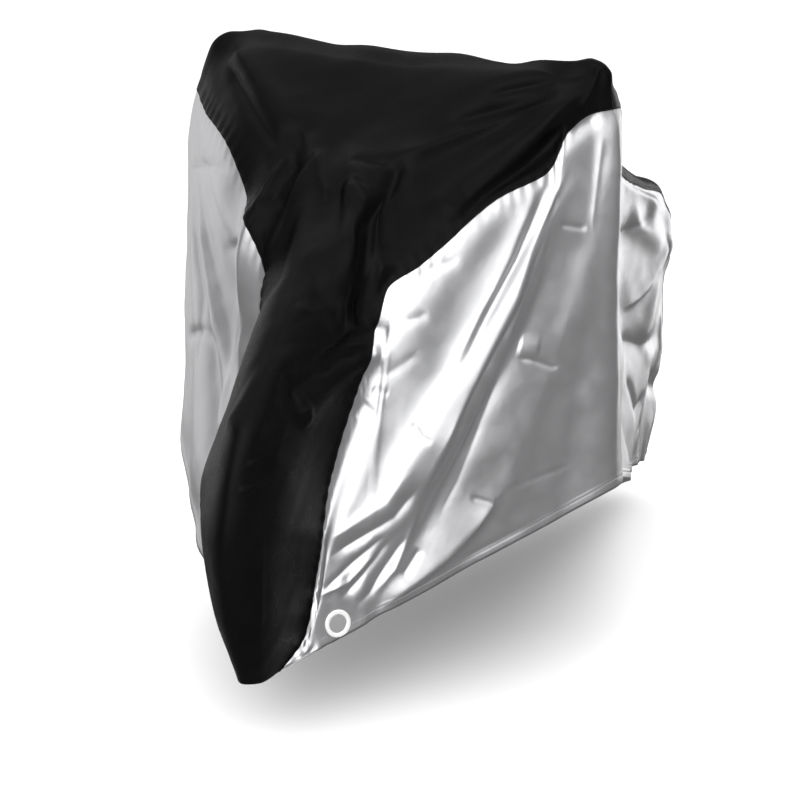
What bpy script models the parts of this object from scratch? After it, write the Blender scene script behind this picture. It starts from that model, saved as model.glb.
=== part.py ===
# Bicycle cover, draped: a black centre panel that runs from the front hem over
# the nose, the shoulders and the tail to the rear hem, a silver panel on each
# side, in a front and a rear half that meet below the shoulder, and at the front
# of each side hem a gathered strip with an eyelet.
# Metres, +X to the front, +Y to the left, +Z up. The origin is under the top,
# half way between the shoulders, where the cover rests on what it covers.

import bmesh
import bpy
import numpy as np
from mathutils import Matrix, Vector

# Driving sizes
SHEET = 0.002            # thickness of the cloth
SEAM_GAP = 0.0006        # clearance between neighbouring pieces
TOP_POINT = (-0.315, -0.004, 1.055)   # the top, measured from the ground under the nose
EYELET_OUTER = 0.0225    # outer radius of the ring
EYELET_HOLE = 0.0150     # radius of its opening
EYELET_WALL = 0.0012     # wall of the ring's neck
EYELET_ROUND = 0.0005    # rounding of its edges
EYELET_SIDES = 32
EYELET_FLANGE = 0.0016   # thickness of the ring on each face of the cloth
EYELET_PLAY = 0.0005     # clearance between the ring and the cloth
PINCH = 1e-6             # grid points nearer than this are one point
EYELET_FLAT = 0.034      # radius of the flattened patch that the ring is set in
EYELET_BLEND = 0.066     # radius at which the cloth is back in its own folds

# Sections are numbered from the front hem, 0, to the rear hem, 20.
SHOULDER = 9             # the section that runs up one side, over both shoulders and down
SECTIONS_BETWEEN = {     # how finely each stretch of the cover is divided
    (0, 2): 7, (2, 7): 20, (7, 8): 6, (8, 9): 9, (9, 10): 9, (10, 16): 16, (16, 20): 9,
}

# The lines that the cover follows. Columns: section, x, y, z, in metres from the
# ground under the nose, which is turned about 8 degrees to the left.
RIDGE = [
    (0, 0.288, 0.047, 0.150), (1, 0.352, 0.056, 0.270), (2, 0.378, 0.060, 0.390),
    (3, 0.355, 0.057, 0.500), (4, 0.285, 0.047, 0.600), (5, 0.160, 0.030, 0.705),
    (6, 0.000, 0.010, 0.820), (7, -0.160, 0.000, 0.935), (8, -0.272, -0.002, 1.036),
    (9, -0.315, -0.004, 1.056), (10, -0.370, 0.000, 1.030), (11, -0.550, 0.000, 0.965),
    (12, -0.740, 0.000, 0.940), (13, -1.000, 0.000, 0.945), (14, -1.100, 0.000, 0.790),
    (15, -1.250, 0.000, 0.725), (16, -1.410, 0.000, 0.680), (17, -1.462, 0.000, 0.560),
    (18, -1.480, 0.000, 0.400), (19, -1.430, 0.000, 0.220), (20, -1.425, 0.000, 0.100),
]
LEFT_BROW = [
    (0, 0.265, 0.063, 0.147), (1, 0.310, 0.088, 0.265), (2, 0.315, 0.092, 0.390),
    (3, 0.280, 0.088, 0.500), (4, 0.190, 0.080, 0.605), (5, 0.070, 0.075, 0.720),
    (6, -0.060, 0.085, 0.845), (7, -0.200, 0.120, 0.955), (8, -0.310, 0.270, 1.045),
    (9, -0.360, 0.324, 1.064), (9.5, -0.385, 0.300, 1.056), (10, -0.420, 0.200, 1.025),
    (11, -0.560, 0.080, 0.958), (12, -0.740, 0.060, 0.932), (13, -1.000, 0.072, 0.935),
    (14, -1.095, 0.055, 0.785), (15, -1.245, 0.045, 0.718), (16, -1.398, 0.034, 0.674),
    (17, -1.448, 0.030, 0.555), (18, -1.466, 0.030, 0.400), (20, -1.415, 0.024, 0.100),
]
RIGHT_BROW = [
    (0, 0.262, 0.022, 0.146), (1, 0.312, 0.006, 0.270), (2, 0.330, -0.002, 0.392),
    (3, 0.308, -0.006, 0.485), (4, 0.235, -0.014, 0.590), (5, 0.125, -0.030, 0.695),
    (6, -0.005, -0.050, 0.815), (7, -0.125, -0.100, 0.925), (8, -0.225, -0.265, 1.040),
    (9, -0.265, -0.337, 1.068), (9.5, -0.290, -0.320, 1.060), (10, -0.340, -0.220, 1.030),
    (11, -0.550, -0.080, 0.958), (12, -0.740, -0.060, 0.932), (13, -1.000, -0.072, 0.935),
    (14, -1.095, -0.055, 0.785), (15, -1.245, -0.045, 0.718), (16, -1.398, -0.034, 0.674),
    (17, -1.448, -0.030, 0.555), (18, -1.466, -0.030, 0.400), (20, -1.415, -0.024, 0.100),
]
LEFT_SEAM = [
    (0, 0.204, 0.062, 0.145), (0.5, 0.176, 0.068, 0.163), (1, 0.150, 0.073, 0.184),
    (1.5, 0.134, 0.076, 0.224), (2, 0.118, 0.077, 0.292), (2.5, 0.100, 0.077, 0.390),
    (3, 0.076, 0.082, 0.471), (4, 0.045, 0.093, 0.556), (5, 0.004, 0.109, 0.660),
    (5.5, -0.019, 0.115, 0.726), (6, -0.062, 0.145, 0.758), (6.5, -0.104, 0.172, 0.792),
    (7, -0.176, 0.218, 0.854), (7.5, -0.258, 0.276, 0.898), (8, -0.290, 0.292, 0.955),
    (8.5, -0.330, 0.316, 0.985), (9, -0.364, 0.346, 0.992), (9.5, -0.400, 0.335, 0.988),
    (10, -0.440, 0.270, 0.975), (11, -0.580, 0.140, 0.925), (12, -0.740, 0.100, 0.900),
    (13, -0.995, 0.092, 0.900), (14, -1.095, 0.068, 0.752), (15, -1.240, 0.058, 0.700),
    (16, -1.384, 0.048, 0.660), (17, -1.425, 0.050, 0.555), (18, -1.440, 0.052, 0.400),
    (20, -1.392, 0.044, 0.100),
]
RIGHT_SEAM = [
    (0, 0.204, 0.004, 0.142), (0.5, 0.207, -0.010, 0.158), (1, 0.209, -0.025, 0.182),
    (1.5, 0.210, -0.045, 0.220), (2, 0.209, -0.062, 0.270), (2.5, 0.207, -0.076, 0.335),
    (3, 0.200, -0.086, 0.405), (3.5, 0.140, -0.090, 0.470), (4, 0.062, -0.090, 0.520),
    (4.5, 0.030, -0.096, 0.570), (5, 0.012, -0.100, 0.615), (5.5, 0.004, -0.100, 0.700),
    (6, -0.014, -0.106, 0.728), (6.5, -0.012, -0.140, 0.795), (7, -0.078, -0.178, 0.832),
    (7.5, -0.127, -0.250, 0.907), (8, -0.195, -0.330, 0.937), (8.5, -0.234, -0.365, 0.955),
    (9, -0.260, -0.386, 0.966), (9.5, -0.300, -0.370, 0.962), (10, -0.360, -0.300, 0.955),
    (11, -0.560, -0.140, 0.925), (12, -0.740, -0.100, 0.900), (13, -0.995, -0.092, 0.900),
    (14, -1.095, -0.068, 0.752), (15, -1.240, -0.058, 0.700), (16, -1.384, -0.048, 0.660),
    (17, -1.425, -0.050, 0.555), (18, -1.440, -0.052, 0.400), (20, -1.392, -0.044, 0.100),
]
LEFT_HEM = [
    (0, 0.204, 0.062, 0.145), (0.5, 0.177, 0.074, 0.152), (1, 0.156, 0.086, 0.160),
    (2, 0.138, 0.097, 0.167), (4, 0.110, 0.113, 0.177), (5, 0.086, 0.128, 0.187),
    (6, 0.050, 0.152, 0.204), (6.5, 0.030, 0.165, 0.214), (7, -0.024, 0.203, 0.239),
    (8, -0.130, 0.278, 0.288), (8.5, -0.218, 0.339, 0.328), (9, -0.314, 0.405, 0.371),
    (9.5, -0.470, 0.358, 0.335), (10, -0.620, 0.300, 0.280), (12, -0.860, 0.205, 0.200),
    (14, -1.060, 0.135, 0.150), (16, -1.210, 0.095, 0.120), (18, -1.320, 0.068, 0.105),
    (20, -1.392, 0.044, 0.100),
]
RIGHT_HEM = [
    (0, 0.204, 0.004, 0.142), (1, 0.182, -0.022, 0.151), (2, 0.160, -0.046, 0.160),
    (3, 0.132, -0.072, 0.172), (4, 0.104, -0.098, 0.183), (5.5, 0.052, -0.150, 0.204),
    (7, -0.030, -0.235, 0.236), (8.2, -0.130, -0.315, 0.280), (9, -0.258, -0.400, 0.366),
    (9.5, -0.400, -0.372, 0.337), (10, -0.580, -0.312, 0.280), (12, -0.840, -0.210, 0.200),
    (14, -1.060, -0.138, 0.150), (16, -1.210, -0.097, 0.120), (18, -1.320, -0.069, 0.105),
    (20, -1.392, -0.044, 0.100),
]
# How far the middle of each side stands out from the straight line between seam and hem.
# Columns: section, left, right.
BELLY = [
    (0, 0.000, 0.000), (3, 0.004, -0.010), (6, 0.010, -0.020), (8, 0.018, -0.010),
    (8.5, 0.016, -0.004), (9, 0.000, 0.000), (9.5, -0.025, -0.025), (10, -0.045, -0.045),
    (12, -0.030, -0.034), (14, -0.012, -0.016), (16, 0.012, 0.010), (18, 0.016, 0.014),
    (20, 0.002, 0.002),
]
# Folds that fan out from a shoulder over the side below it. Columns: side, face,
# angle from the upright ridge at the near and the far end, distance from the
# shoulder at both ends, half width in degrees to the ridge side and to the open
# side, height. The angles are in degrees, the rest in metres.
FAN_FOLDS = [
    ("left", "front", 36.5, 34.0, 0.16, 0.86, 4.5, 2.6, 0.014),
    ("left", "front", 31.0, 31.4, 0.26, 0.80, 1.6, 1.4, 0.005),
    ("left", "front", 29.0, 29.6, 0.34, 0.84, 2.4, 2.2, -0.007),
    ("left", "front", 13.0, 21.0, 0.10, 0.74, 5.0, 5.0, 0.009),
    ("left", "front", 60.0, 47.0, 0.14, 0.60, 6.0, 6.0, 0.008),
    ("left", "front", 70.0, 66.0, 0.16, 0.50, 5.0, 5.0, -0.007),
    ("left", "rear", 12.0, 14.0, 0.12, 0.72, 5.0, 5.0, -0.014),
    ("left", "rear", 24.0, 27.0, 0.10, 0.80, 5.0, 4.0, 0.018),
    ("left", "rear", 38.0, 42.0, 0.10, 0.95, 5.0, 6.0, -0.016),
    ("left", "rear", 54.0, 56.0, 0.12, 1.00, 6.0, 5.0, 0.016),
    ("right", "front", 14.0, 20.0, 0.10, 0.74, 5.0, 6.0, 0.010),
    ("right", "front", 31.0, 33.0, 0.12, 0.84, 3.5, 3.0, 0.013),
    ("right", "front", 26.0, 27.0, 0.20, 0.80, 2.6, 2.4, -0.008),
    ("right", "front", 47.0, 43.0, 0.16, 0.70, 5.0, 5.0, -0.010),
    ("right", "rear", 16.0, 18.0, 0.12, 0.74, 5.0, 5.0, 0.014),
    ("right", "rear", 30.0, 35.0, 0.10, 0.85, 5.0, 5.0, -0.018),
    ("right", "rear", 46.0, 49.0, 0.10, 1.00, 5.0, 6.0, 0.016),
    ("right", "rear", 60.0, 62.0, 0.12, 0.95, 5.0, 5.0, -0.010),
]
# Folds that run from one point of the cover to another. Columns: x, y, z of both
# ends, half width at both ends, height.
STRAIGHT_FOLDS = [
    (-0.330, 0.250, 1.020, -0.040, 0.050, 0.830, 0.030, 0.060, -0.016),   # below the left shoulder
    (-0.330, 0.290, 0.990, -0.130, 0.150, 0.850, 0.022, 0.036, 0.012),
    (-0.330, 0.300, 0.975, -0.160, 0.185, 0.850, 0.018, 0.026, -0.012),
    (-0.110, 0.070, 0.900, 0.030, 0.095, 0.700, 0.018, 0.042, -0.016),    # down the neck
    (-0.060, 0.030, 0.860, 0.060, 0.070, 0.700, 0.020, 0.030, 0.012),
    (-0.240, -0.270, 1.010, -0.070, -0.100, 0.880, 0.028, 0.050, 0.014),  # below the right shoulder
    (-0.130, -0.110, 0.920, 0.060, -0.060, 0.740, 0.026, 0.050, -0.014),
    (0.010, 0.112, 0.660, 0.200, 0.075, 0.600, 0.014, 0.024, -0.009),     # across the neck
    (0.010, 0.112, 0.620, 0.170, 0.085, 0.560, 0.014, 0.022, 0.007),
    (-0.350, 0.170, 1.052, -0.430, 0.150, 1.010, 0.030, 0.030, -0.014),   # a dip behind the bar
    (-1.180, 0.075, 0.640, -1.440, 0.050, 0.520, 0.026, 0.036, 0.014),    # over the tail, left
    (-1.420, 0.055, 0.620, -1.240, 0.085, 0.400, 0.024, 0.030, 0.016),
    (-1.440, 0.055, 0.330, -1.260, 0.080, 0.350, 0.022, 0.022, 0.012),
    (-1.300, 0.080, 0.340, -1.180, 0.105, 0.180, 0.030, 0.024, 0.014),
    (-1.430, 0.050, 0.240, -1.300, 0.075, 0.280, 0.022, 0.020, -0.012),
    (-1.410, -0.055, 0.600, -1.250, -0.085, 0.420, 0.028, 0.034, 0.014),  # over the tail, right
    (-1.440, -0.055, 0.400, -1.230, -0.090, 0.300, 0.024, 0.030, -0.014),
    (-1.430, -0.050, 0.250, -1.200, -0.100, 0.200, 0.026, 0.026, 0.013),
]
# The gathers that elastic draws into the hem near each end of the cover.
GATHER_PITCH = 1.6       # sections for each gather
GATHER_HEIGHT = 0.0035
GATHER_REACH = 0.35      # how far the gathers run up: 1 is to the middle of the side

HALVES = {"left": 1.0, "right": -1.0}
CENTRE_COLUMNS = 3       # divisions in each quarter of the centre panel
PANEL_COLUMNS = 8        # divisions of a side panel, above its strip
STRIP_COLUMNS = 2        # divisions of the gathered strip
STRIP_HEIGHT = 0.065     # height of the gathered strip above the hem
STRIP_END = {"left": 6.5, "right": 5.5}   # each strip runs from the front to this section
EYELETS = {              # about the centre of each ring, on the gathered strip
    "left": (0.108, 0.112, 0.204),
    "right": (0.130, -0.072, 0.200),
}


def along(rows, at):
    """A smooth line through the rows that never swings past them."""
    table = np.array(rows, dtype=float)
    knot, value = table[:, 0], table[:, 1:]
    step = np.diff(knot)[:, None]
    slope = np.diff(value, axis=0) / step
    tangent = np.zeros_like(value)
    same_way = slope[:-1] * slope[1:] > 0
    weight_a = 2 * step[1:] + step[:-1]
    weight_b = step[1:] + 2 * step[:-1]
    safe_a = np.where(same_way, slope[:-1], 1.0)
    safe_b = np.where(same_way, slope[1:], 1.0)
    mean = (weight_a + weight_b) / (weight_a / safe_a + weight_b / safe_b)
    tangent[1:-1] = np.where(same_way, mean, 0.0)
    tangent[0] = slope[0]
    tangent[-1] = slope[-1]
    at = np.asarray(at, dtype=float)
    cell = np.clip(np.searchsorted(knot, at, side="right") - 1, 0, len(knot) - 2)
    length = (knot[cell + 1] - knot[cell])[..., None]
    t = (at - knot[cell])[..., None] / length
    return ((2 * t**3 - 3 * t**2 + 1) * value[cell]
            + (t**3 - 2 * t**2 + t) * length * tangent[cell]
            + (-2 * t**3 + 3 * t**2) * value[cell + 1]
            + (t**3 - t**2) * length * tangent[cell + 1])


def unit(vectors):
    """The same vectors at length one, with zero kept as zero."""
    length = np.linalg.norm(vectors, axis=-1, keepdims=True)
    return vectors / np.where(length > 1e-9, length, 1.0)


def ramp(value, low, high):
    """A soft step from 0 at low to 1 at high."""
    t = np.clip((value - low) / (high - low), 0.0, 1.0)
    return t * t * (3 - 2 * t)


def soften(values, rounds):
    """Evens out the values from row to row."""
    for _ in range(rounds):
        wide = np.concatenate([values[:1], values, values[-1:]])
        values = (wide[:-2] + 2 * wide[1:-1] + wide[2:]) / 4
    return values


def stations():
    """The section number of each row of the grid."""
    rows = [0.0]
    for (start, end), count in SECTIONS_BETWEEN.items():
        rows += list(np.linspace(start, end, count + 1)[1:])
    return np.array(rows)


def section_points(at):
    """The nine points that each section passes through, from hem to hem."""
    seam = {"left": along(LEFT_SEAM, at), "right": along(RIGHT_SEAM, at)}
    hem = {"left": along(LEFT_HEM, at), "right": along(RIGHT_HEM, at)}
    stand_out = along(BELLY, at)
    belly = {}
    for column, (side, sign) in enumerate(HALVES.items()):
        drop = hem[side] - seam[side]
        run = soften(np.gradient(hem[side] + seam[side], axis=0), 8)
        outward = sign * unit(np.cross(drop, run))
        belly[side] = (seam[side] + hem[side]) / 2 + outward * stand_out[:, column:column + 1]
    return np.stack([hem["right"], belly["right"], seam["right"], along(RIGHT_BROW, at),
                     along(RIDGE, at),
                     along(LEFT_BROW, at), seam["left"], belly["left"], hem["left"]])


def across(points, spot):
    """A smooth curve through the section points; spot 0 is the first, 8 the last."""
    knot = np.zeros(points.shape[:2])
    for i in range(1, len(points)):
        chord = np.linalg.norm(points[i] - points[i - 1], axis=-1)
        knot[i] = knot[i - 1] + np.sqrt(np.maximum(chord, 1e-8))
    slope = (points[1:] - points[:-1]) / (knot[1:] - knot[:-1])[..., None]
    tangent = np.empty_like(points)
    tangent[0] = slope[0]
    tangent[-1] = slope[-1]
    wide = (points[2:] - points[:-2]) / (knot[2:] - knot[:-2])[..., None]
    tangent[1:-1] = slope[:-1] + slope[1:] - wide
    cell = np.clip(np.floor(spot).astype(int), 0, len(points) - 2)
    row = np.arange(points.shape[1])[:, None] + np.zeros_like(cell)
    length = (knot[cell + 1, row] - knot[cell, row])[..., None]
    t = (spot - cell)[..., None]
    return ((2 * t**3 - 3 * t**2 + 1) * points[cell, row]
            + (t**3 - 2 * t**2 + t) * length * tangent[cell, row]
            + (-2 * t**3 + 3 * t**2) * points[cell + 1, row]
            + (t**3 - t**2) * length * tangent[cell + 1, row])


def column_spots(points):
    """Where each column of the grid crosses each section, from hem to hem."""
    spots = []
    for first, turn in ((0, 1), (8, -1)):
        seam, belly, hem = (points[first + turn * step] for step in (2, 1, 0))
        side = (np.linalg.norm(seam - belly, axis=-1) + np.linalg.norm(belly - hem, axis=-1))
        strip = np.minimum(STRIP_HEIGHT / np.maximum(side, 1e-6), 1.0)[:, None]
        low = strip * np.linspace(0, 1, STRIP_COLUMNS + 1)
        high = strip + (1 - strip) * np.linspace(0, 1, PANEL_COLUMNS + 1)[1:]
        spots.append(first + turn * 2 * np.concatenate([low, high], axis=1))
    middle = np.linspace(2, 6, 4 * CENTRE_COLUMNS + 1)[None, 1:-1] + 0 * strip
    return np.concatenate([spots[0], middle, spots[1][:, ::-1]], axis=1)


def grid_normals(grid):
    """Outward normals of the grid, also where a side has shrunk to a point."""
    down = np.gradient(grid, axis=0)
    over = np.gradient(grid, axis=1)
    normal = unit(np.cross(over, down))
    flat = np.linalg.norm(normal, axis=-1) < 0.5
    for row in range(1, len(grid)):
        normal[row][flat[row]] = normal[row - 1][flat[row]]
    for row in range(len(grid) - 2, -1, -1):
        empty = np.linalg.norm(normal[row], axis=-1) < 0.5
        normal[row][empty] = normal[row + 1][empty]
    return normal


def fan_relief(grid, at, spot):
    """Height of the folds that fan out from the two shoulders."""
    relief = np.zeros(grid.shape[:2])
    for side, face, near, far, start, end, ridge_width, open_width, height in FAN_FOLDS:
        seam, hem = (LEFT_SEAM, LEFT_HEM) if side == "left" else (RIGHT_SEAM, RIGHT_HEM)
        top, foot = along(seam, [SHOULDER])[0], along(hem, [SHOULDER])[0]
        corner = np.array(hem[0][1:] if face == "front" else hem[-1][1:])
        down = unit(foot - top)
        forth = corner - top
        forth = unit(forth - down * (forth @ down))
        reach = grid - top
        x, y = reach @ forth, reach @ down
        distance = np.hypot(x, y)
        angle = np.degrees(np.arctan2(x, y))
        crest = near + (far - near) * np.clip((distance - start) / (end - start), 0, 1)
        off = angle - crest
        width = np.where(off < 0, ridge_width, open_width)
        ends = ramp(distance, start - 0.04, start + 0.24) * ramp(-distance, -end, 0.1 - end)
        facing = at < SHOULDER if face == "front" else at >= SHOULDER
        half = ramp(spot, 4.3, 5.6) if side == "left" else ramp(-spot, -3.7, -2.4)
        relief += height * np.exp(-(off / width) ** 2) * ends * half * facing[:, None]
    return relief


def straight_relief(grid, normal):
    """Height of the folds that run from point to point."""
    relief = np.zeros(grid.shape[:2])
    for row in STRAIGHT_FOLDS:
        start, end = np.array(row[0:3]), np.array(row[3:6])
        near_width, far_width, height = row[6:9]
        line = end - start
        share = np.clip((grid - start) @ line / (line @ line), 0, 1)
        gap = grid - (start + share[..., None] * line)
        depth = (gap * normal).sum(axis=-1)
        aside = np.linalg.norm(gap - depth[..., None] * normal, axis=-1)
        width = near_width + (far_width - near_width) * share
        relief += height * np.exp(-(aside / width) ** 2 - (depth / 0.05) ** 2)
    return relief


def gather_relief(at, spot):
    """Small waves that the elastic draws into the hem at the front and the rear."""
    from_hem = np.minimum(spot, 8 - spot) / 2
    reach = ramp(-from_hem, -GATHER_REACH, 0.0)
    drawn = ramp(-at, -8.4, -7.4) + ramp(at, 13.5, 15.5)
    wave = np.sin(2 * np.pi * at / GATHER_PITCH) * drawn
    return GATHER_HEIGHT * reach * wave[:, None]


def eyelet_axes(grid, normal):
    """The plane that each eyelet lies in: its centre and its outward axis."""
    axes = {}
    for side, centre in EYELETS.items():
        centre = np.array(centre)
        near = np.linalg.norm(grid - centre, axis=-1) < EYELET_FLAT
        axis = unit(normal[near].mean(axis=0))
        lift = ((grid[near] - centre) @ axis).mean()
        axes[side] = (centre + axis * lift, axis)
    return axes


def cover_grid():
    """The middle surface of the whole cover: points, normals, stations and eyelets."""
    at = stations()
    points = section_points(at)
    spot = column_spots(points)
    grid = across(points, spot)
    for relief in (lambda: fan_relief(grid, at, spot),
                   lambda: straight_relief(grid, grid_normals(soften(grid, 2))),
                   lambda: gather_relief(at, spot)):
        grid = grid + relief()[..., None] * grid_normals(soften(grid, 2))
    normal = grid_normals(grid)
    axes = eyelet_axes(grid, normal)
    for centre, axis in axes.values():
        reach = grid - centre
        height = (reach @ axis)[..., None]
        flat = ramp(-np.linalg.norm(reach, axis=-1), -EYELET_BLEND, -EYELET_FLAT)[..., None]
        grid = grid - flat * height * axis
        normal = unit(normal + flat * (axis - normal) * (normal @ axis > 0)[..., None])
    return grid, normal, at, axes


def square_to(step, rim):
    """The part of each step that is square to the rim, at length one."""
    return unit(step - rim * (step * rim).sum(axis=-1, keepdims=True))


def retreat(grid, cells):
    """Moves the rim of a piece back by half the seam gap, along the cloth."""
    rows, columns = grid.shape[:2]
    down_rim = unit(np.gradient(grid, axis=0))
    cross_rim = unit(np.gradient(grid, axis=1))
    padded = np.zeros((rows + 1, columns + 1), dtype=bool)
    padded[1:-1, 1:-1] = cells
    step_down = np.zeros_like(grid)
    step_up = np.zeros_like(grid)
    step_over = np.zeros_like(grid)
    step_back = np.zeros_like(grid)
    step_down[:-1] = unit(grid[1:] - grid[:-1])
    step_up[1:] = unit(grid[:-1] - grid[1:])
    step_over[:, :-1] = unit(grid[:, 1:] - grid[:, :-1])
    step_back[:, 1:] = unit(grid[:, :-1] - grid[:, 1:])
    up = (padded[:-1, :-1].astype(int) + padded[:-1, 1:])[..., None]
    down = (padded[1:, :-1].astype(int) + padded[1:, 1:])[..., None]
    back = (padded[:-1, :-1].astype(int) + padded[1:, :-1])[..., None]
    over = (padded[:-1, 1:].astype(int) + padded[1:, 1:])[..., None]
    along_rows = np.where(down > up, step_down, np.where(up > down, step_up, 0.0))
    along_columns = np.where(over > back, step_over, np.where(back > over, step_back, 0.0))
    moved = square_to(along_rows, cross_rim) + square_to(along_columns, down_rim)
    return grid + moved * SEAM_GAP / 2


def sheet(name, grid, normal, cells, material):
    """One closed piece of cloth over the chosen cells of the grid."""
    middle = retreat(grid, cells)
    rows, columns = grid.shape[:2]
    for row, column in zip(*np.nonzero(np.linalg.norm(np.diff(grid, axis=1), axis=-1) < PINCH)):
        middle[row, column + 1] = middle[row, column]
        normal[row, column + 1] = normal[row, column]
    outer = middle + normal * SHEET / 2
    inner = middle - normal * SHEET / 2
    mesh_points = np.concatenate([outer.reshape(-1, 3), inner.reshape(-1, 3)])
    count = rows * columns
    flat_points = middle.reshape(-1, 3)
    faces = []
    for row, column in zip(*np.nonzero(cells)):
        a = row * columns + column
        ring = [a, a + 1, a + columns + 1, a + columns]
        first_way, second_way = (np.linalg.norm(flat_points[ring[i]] - flat_points[ring[i + 2]])
                                 for i in (0, 1))
        turned = ring if first_way <= second_way else ring[1:] + ring[:1]
        for half in (turned[:3], [turned[0], turned[2], turned[3]]):
            faces.append(half)
            faces.append([p + count for p in reversed(half)])
        beside = {(0, 1): (row - 1, column), (1, 2): (row, column + 1),
                  (2, 3): (row + 1, column), (3, 0): (row, column - 1)}
        for (first, second), (r, c) in beside.items():
            inside = 0 <= r < rows - 1 and 0 <= c < columns - 1 and cells[r, c]
            if not inside:
                p, q = ring[first], ring[second]
                faces.append([q, p, p + count, q + count])
    mesh = bpy.data.meshes.new(name)
    mesh.from_pydata([tuple(p) for p in mesh_points], [], faces)
    work = bmesh.new()
    work.from_mesh(mesh)
    bmesh.ops.remove_doubles(work, verts=work.verts, dist=1e-7)
    bmesh.ops.delete(work, geom=[v for v in work.verts if not v.link_faces], context="VERTS")
    work.to_mesh(mesh)
    work.free()
    mesh.shade_smooth()
    mesh.materials.append(material)
    piece = bpy.data.objects.new(name, mesh)
    parts.objects.link(piece)
    return piece


def cloth_material(name, colour, roughness, sheen):
    """A coated woven cloth."""
    material = bpy.data.materials.new(name)
    material.use_nodes = True
    shader = material.node_tree.nodes["Principled BSDF"]
    shader.inputs["Base Color"].default_value = (*colour, 1.0)
    shader.inputs["Roughness"].default_value = roughness
    shader.inputs["Sheen Weight"].default_value = sheen
    return material


def metal_material():
    """Nickel-plated brass of the eyelets."""
    material = bpy.data.materials.new("eyelet_metal")
    material.use_nodes = True
    shader = material.node_tree.nodes["Principled BSDF"]
    shader.inputs["Base Color"].default_value = (0.80, 0.80, 0.78, 1.0)
    shader.inputs["Metallic"].default_value = 1.0
    shader.inputs["Roughness"].default_value = 0.28
    return material


def place_on_axis(thing, centre, axis):
    """Puts an object at a point with its own Z along the axis."""
    turn = Vector(axis).to_track_quat("Z", "Y")
    thing.matrix_world = Matrix.Translation(Vector(centre)) @ turn.to_matrix().to_4x4()


def eyelet(side, centre, axis, material):
    """A ring rolled over both faces of the cloth."""
    face = SHEET / 2 + EYELET_PLAY
    top = face + EYELET_FLANGE
    neck = EYELET_HOLE + EYELET_WALL
    profile = [(neck, face), (EYELET_OUTER, face), (EYELET_OUTER, top - EYELET_ROUND),
               (EYELET_OUTER - EYELET_ROUND, top), (EYELET_HOLE + EYELET_ROUND, top),
               (EYELET_HOLE, top - EYELET_ROUND)]
    upper = [(x, 0.0, z) for x, z in reversed(profile)]
    section = upper + [(x, y, -z) for x, y, z in reversed(upper)]
    mesh = bpy.data.meshes.new("eyelet_" + side)
    edges = [(i, (i + 1) % len(section)) for i in range(len(section))]
    mesh.from_pydata(section, edges, [])
    mesh.materials.append(material)
    ring = bpy.data.objects.new("eyelet_" + side, mesh)
    parts.objects.link(ring)
    screw = ring.modifiers.new("turned", "SCREW")
    screw.axis = "Z"
    screw.steps = EYELET_SIDES
    screw.render_steps = EYELET_SIDES
    screw.use_merge_vertices = True
    screw.merge_threshold = 0.0001
    screw.use_smooth_shade = False
    place_on_axis(ring, centre, axis)
    return ring


def punch(piece, side, centre, axis):
    """Cuts the round hole that the ring is set in."""
    bpy.ops.mesh.primitive_cylinder_add(
        vertices=EYELET_SIDES, radius=EYELET_HOLE + EYELET_WALL + EYELET_PLAY, depth=0.03)
    cutter = bpy.context.active_object
    cutter.name = "punch_" + side
    cutter.display_type = "WIRE"
    cutter.hide_render = True
    for collection in list(cutter.users_collection):
        collection.objects.unlink(cutter)
    cutters.objects.link(cutter)
    place_on_axis(cutter, centre, axis)
    cut = piece.modifiers.new("eyelet hole", "BOOLEAN")
    cut.operation = "DIFFERENCE"
    cut.solver = "EXACT"
    cut.object = cutter


def build_cover():
    """Cuts the grid into the pieces that are sewn together, and sets the eyelets."""
    grid, normal, at, axes = cover_grid()
    shift = np.array(TOP_POINT) - [0.0, 0.0, SHEET / 2]
    grid = grid - shift
    rows, columns = grid.shape[0] - 1, grid.shape[1] - 1
    row, column = np.mgrid[0:rows, 0:columns]
    from_hem = np.minimum(column, columns - 1 - column)
    side_columns = STRIP_COLUMNS + PANEL_COLUMNS
    pinched = np.linalg.norm(grid[:, 1:] - grid[:, :-1], axis=-1) < PINCH
    solid = ~(pinched[:-1] & pinched[1:])
    silver = (from_hem < side_columns) & solid
    left = column >= columns / 2
    black_cloth = cloth_material("black_cloth", (0.022, 0.022, 0.024), 0.55, 0.15)
    silver_cloth = cloth_material("silver_cloth", (0.62, 0.62, 0.63), 0.42, 0.10)
    ring_metal = metal_material()
    sheet("centre_panel", grid, normal.copy(), from_hem >= side_columns, black_cloth)
    for side in HALVES:
        this_side = left if side == "left" else ~left
        strip = silver & (from_hem < STRIP_COLUMNS) & (at[row] < STRIP_END[side])
        centre, axis = axes[side]
        centre = centre - shift
        panel = silver & ~strip & this_side
        front = at[row] < SHOULDER
        sheet("side_front_" + side, grid, normal.copy(), panel & front, silver_cloth)
        sheet("side_rear_" + side, grid, normal.copy(), panel & ~front, silver_cloth)
        hem = sheet("hem_strip_" + side, grid, normal.copy(), strip & this_side, silver_cloth)
        punch(hem, side, centre, axis)
        eyelet(side, centre, axis, ring_metal)


for old in list(bpy.data.objects):
    bpy.data.objects.remove(old, do_unlink=True)
parts = bpy.data.collections.new("bicycle_cover")
cutters = bpy.data.collections.new("cutters")
bpy.context.scene.collection.children.link(parts)
bpy.context.scene.collection.children.link(cutters)
build_cover()
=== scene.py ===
import bmesh
import bpy
import numpy as np
from mathutils import Matrix, Vector


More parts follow.
